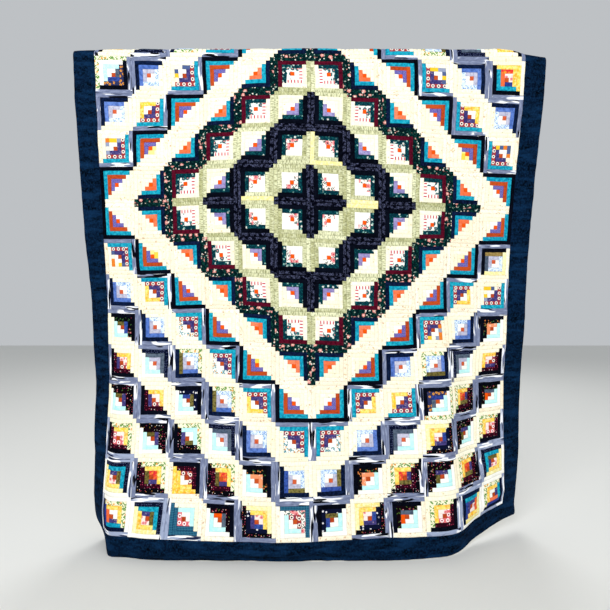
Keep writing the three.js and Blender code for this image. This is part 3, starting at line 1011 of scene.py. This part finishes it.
def add_sheet(name, points, place, materials, outwards=True):
    """A grid of points as a mesh of quads. place gives each point's (s, t) on the flat cloth."""
    rows, columns = points.shape[:2]
    number = np.arange(rows * columns).reshape(rows, columns)
    low, high = number[:-1], number[1:]
    corners = np.stack([low[:, :-1], low[:, 1:], high[:, 1:], high[:, :-1]], axis=-1).reshape(-1, 4)
    if not outwards:
        corners = corners[:, ::-1]
    mesh = bpy.data.meshes.new(name)
    mesh.vertices.add(rows * columns)
    mesh.vertices.foreach_set("co", points.astype(np.float32).ravel())
    mesh.loops.add(corners.size)
    mesh.loops.foreach_set("vertex_index", corners.astype(np.int32).ravel())
    mesh.polygons.add(len(corners))
    mesh.polygons.foreach_set("loop_start", np.arange(0, corners.size, 4, dtype=np.int32))
    mesh.update(calc_edges=True)
    mesh.polygons.foreach_set("use_smooth", np.ones(len(corners), bool))
    flat = place.reshape(-1, 2)[corners.ravel()]
    low_corner, size = flat.min(axis=0), np.ptp(flat, axis=0)
    flat_map(mesh, "OFBake", (flat - low_corner) / size.max())
    flat_map(mesh, "cloth", flat * MM)
    for material in materials:
        mesh.materials.append(material)
    piece = bpy.data.objects.new(name, mesh)
    bpy.context.scene.collection.objects.link(piece)
    return piece


def places(columns, rows):
    s, t = np.meshgrid(ACROSS[columns], ALONG[rows])
    return np.stack([s, t], axis=-1)


def dress(piece, nodes):
    """Gives a piece its body, and hides the solids that it stands for."""
    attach(piece, "root")
    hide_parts(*nodes)


COTTONS = [printed_cotton(name) for name in FABRICS]
NAVY = border_cotton()
CALICO = backing_cotton()


def add_patchwork(name, first_row, last_row, nodes):
    """The pieced blocks from one row to another, as one mesh with each log's own fabric."""
    lines = slice(PER_BORDER + first_row * LOGS * PER_LOG, PER_BORDER + last_row * LOGS * PER_LOG + 1)
    columns = slice(PER_BORDER, -PER_BORDER)
    place = places(columns, lines)
    piece = add_sheet(name, FRONT[lines, columns], place, COTTONS)
    cells = slice(first_row * LOGS, last_row * LOGS)
    spread = lambda values: values[cells].repeat(PER_LOG, axis=0).repeat(PER_LOG, axis=1)
    mesh = piece.data
    mesh.polygons.foreach_set("material_index", spread(FABRIC).astype(np.int32).ravel())
    tone = mesh.attributes.new("tone", "FLOAT", "FACE")
    tone.data.foreach_set("value", spread(TONE).astype(np.float32).ravel())
    corner = np.stack([place[:-1, :-1], place[:-1, 1:], place[1:, 1:], place[1:, :-1]], axis=2)
    from_start = corner - np.stack([spread(START_S), spread(START_T)], axis=-1)[:, :, None]
    strip = np.where(spread(LEVEL)[..., None, None], from_start, from_start[..., ::-1])
    flat_map(mesh, "strip", strip.reshape(-1, 2) * MM)
    mesh.update()
    dress(piece, nodes)


def add_border(name, columns, lines, node):
    piece = add_sheet(name, FRONT[lines, columns], places(columns, lines), [NAVY])
    dress(piece, [node])


def add_backing():
    """The back of the quilt, out to its rounded edge, on every line between the logs."""
    pick = lambda lines: np.unique(np.concatenate([
        np.arange(PER_BORDER),
        np.arange(PER_BORDER, len(lines) - PER_BORDER, PER_LOG // 2),
        np.arange(len(lines) - PER_BORDER - 1, len(lines)),
    ]))
    columns, lines = pick(ACROSS), pick(ALONG)
    points = BACK[lines][:, columns]
    piece = add_sheet("backing", points, places(columns, lines), [CALICO], outwards=False)
    dress(piece, [])


# From the hem in front up and over the rail, in equal parts
PATCHWORK = (
    ("patchwork_lower", ["pieced_lower"]),
    ("patchwork_middle", ["pieced_middle"]),
    ("patchwork_upper", ["pieced_top", "pieced_flap"]),
)
ROWS_EACH = BLOCKS_ALONG // len(PATCHWORK)

for part, (sheet, nodes) in enumerate(PATCHWORK):
    add_patchwork(sheet, part * ROWS_EACH, (part + 1) * ROWS_EACH, nodes)
side_lines = slice(PER_BORDER, -PER_BORDER)
add_border("side_left", slice(0, PER_BORDER + 1), side_lines, "border_left")
add_border("side_right", slice(-PER_BORDER - 1, None), side_lines, "border_right")
add_border("hem_front", slice(None), slice(0, PER_BORDER + 1), "border_bottom")
add_border("hem_back", slice(None), slice(-PER_BORDER - 1, None), "border_top")
add_backing()


# The stage, the light and the camera

FLOOR_SIZE = 14.0
# Name, place, what it shines at, size and power, in metres and watts
LIGHTS = (
    ("key", (-1.6, -3.4, 1.4), (0, 0, -0.9), 2.6, 136),
    ("fill", (2.2, -2.8, -0.2), (0, 0, -0.9), 2.4, 36),
    ("back", (0.5, 3.4, 1.6), (0, 0, -0.8), 2.6, 80),
)
CAMERA_AT = (-0.0176, -1.7025, -0.9253)
CAMERA_DOWN = 0.0159  # how far it looks down, in radians
FRAME_PIXELS = 610
FOCAL_PIXELS = 450
SENSOR = 36.0


def plain(name, code, roughness):
    material = bpy.data.materials.new(name)
    material.use_nodes = True
    surface = material.node_tree.nodes["Principled BSDF"]
    surface.inputs["Base Color"].default_value = ink(code)
    surface.inputs["Roughness"].default_value = roughness
    return material


def add_floor():
    mesh = bpy.data.meshes.new("floor")
    half, z = FLOOR_SIZE / 2, FLOOR_Z * MM
    corners = [(-half, -half, z), (half, -half, z), (half, half, z), (-half, half, z)]
    mesh.from_pydata(corners, [], [(0, 1, 2, 3)])
    mesh.materials.append(plain("floor_pale", "dcdcd8", 0.8))
    floor = bpy.data.objects.new("floor", mesh)
    bpy.context.scene.collection.objects.link(floor)


def add_light(name, at, towards, size, power):
    light = bpy.data.lights.new(name, "AREA")
    light.shape = "SQUARE"
    light.size = size
    light.energy = power
    lamp = bpy.data.objects.new(name, light)
    lamp.location = at
    direction = np.array(towards) - np.array(at)
    lamp.rotation_euler = (math.acos(-direction[2] / np.linalg.norm(direction)), 0,
                           math.atan2(direction[1], direction[0]) - math.pi / 2)
    bpy.context.scene.collection.objects.link(lamp)


def add_world(code, strength):
    world = bpy.data.worlds.new("soft_light")
    world.use_nodes = True
    background = world.node_tree.nodes["Background"]
    background.inputs["Color"].default_value = ink(code)
    background.inputs["Strength"].default_value = strength
    bpy.context.scene.world = world


def add_camera():
    camera = bpy.data.cameras.new("camera")
    camera.sensor_width = SENSOR
    camera.lens = FOCAL_PIXELS / FRAME_PIXELS * SENSOR
    eye = bpy.data.objects.new("camera", camera)
    eye.location = CAMERA_AT
    eye.rotation_euler = (math.pi / 2 - CAMERA_DOWN, 0, 0)
    bpy.context.scene.collection.objects.link(eye)
    bpy.context.scene.camera = eye


add_floor()
for light in LIGHTS:
    add_light(*light)
add_world("eef2f6", 0.6)
add_camera()
bpy.context.scene.view_settings.view_transform = "Standard"
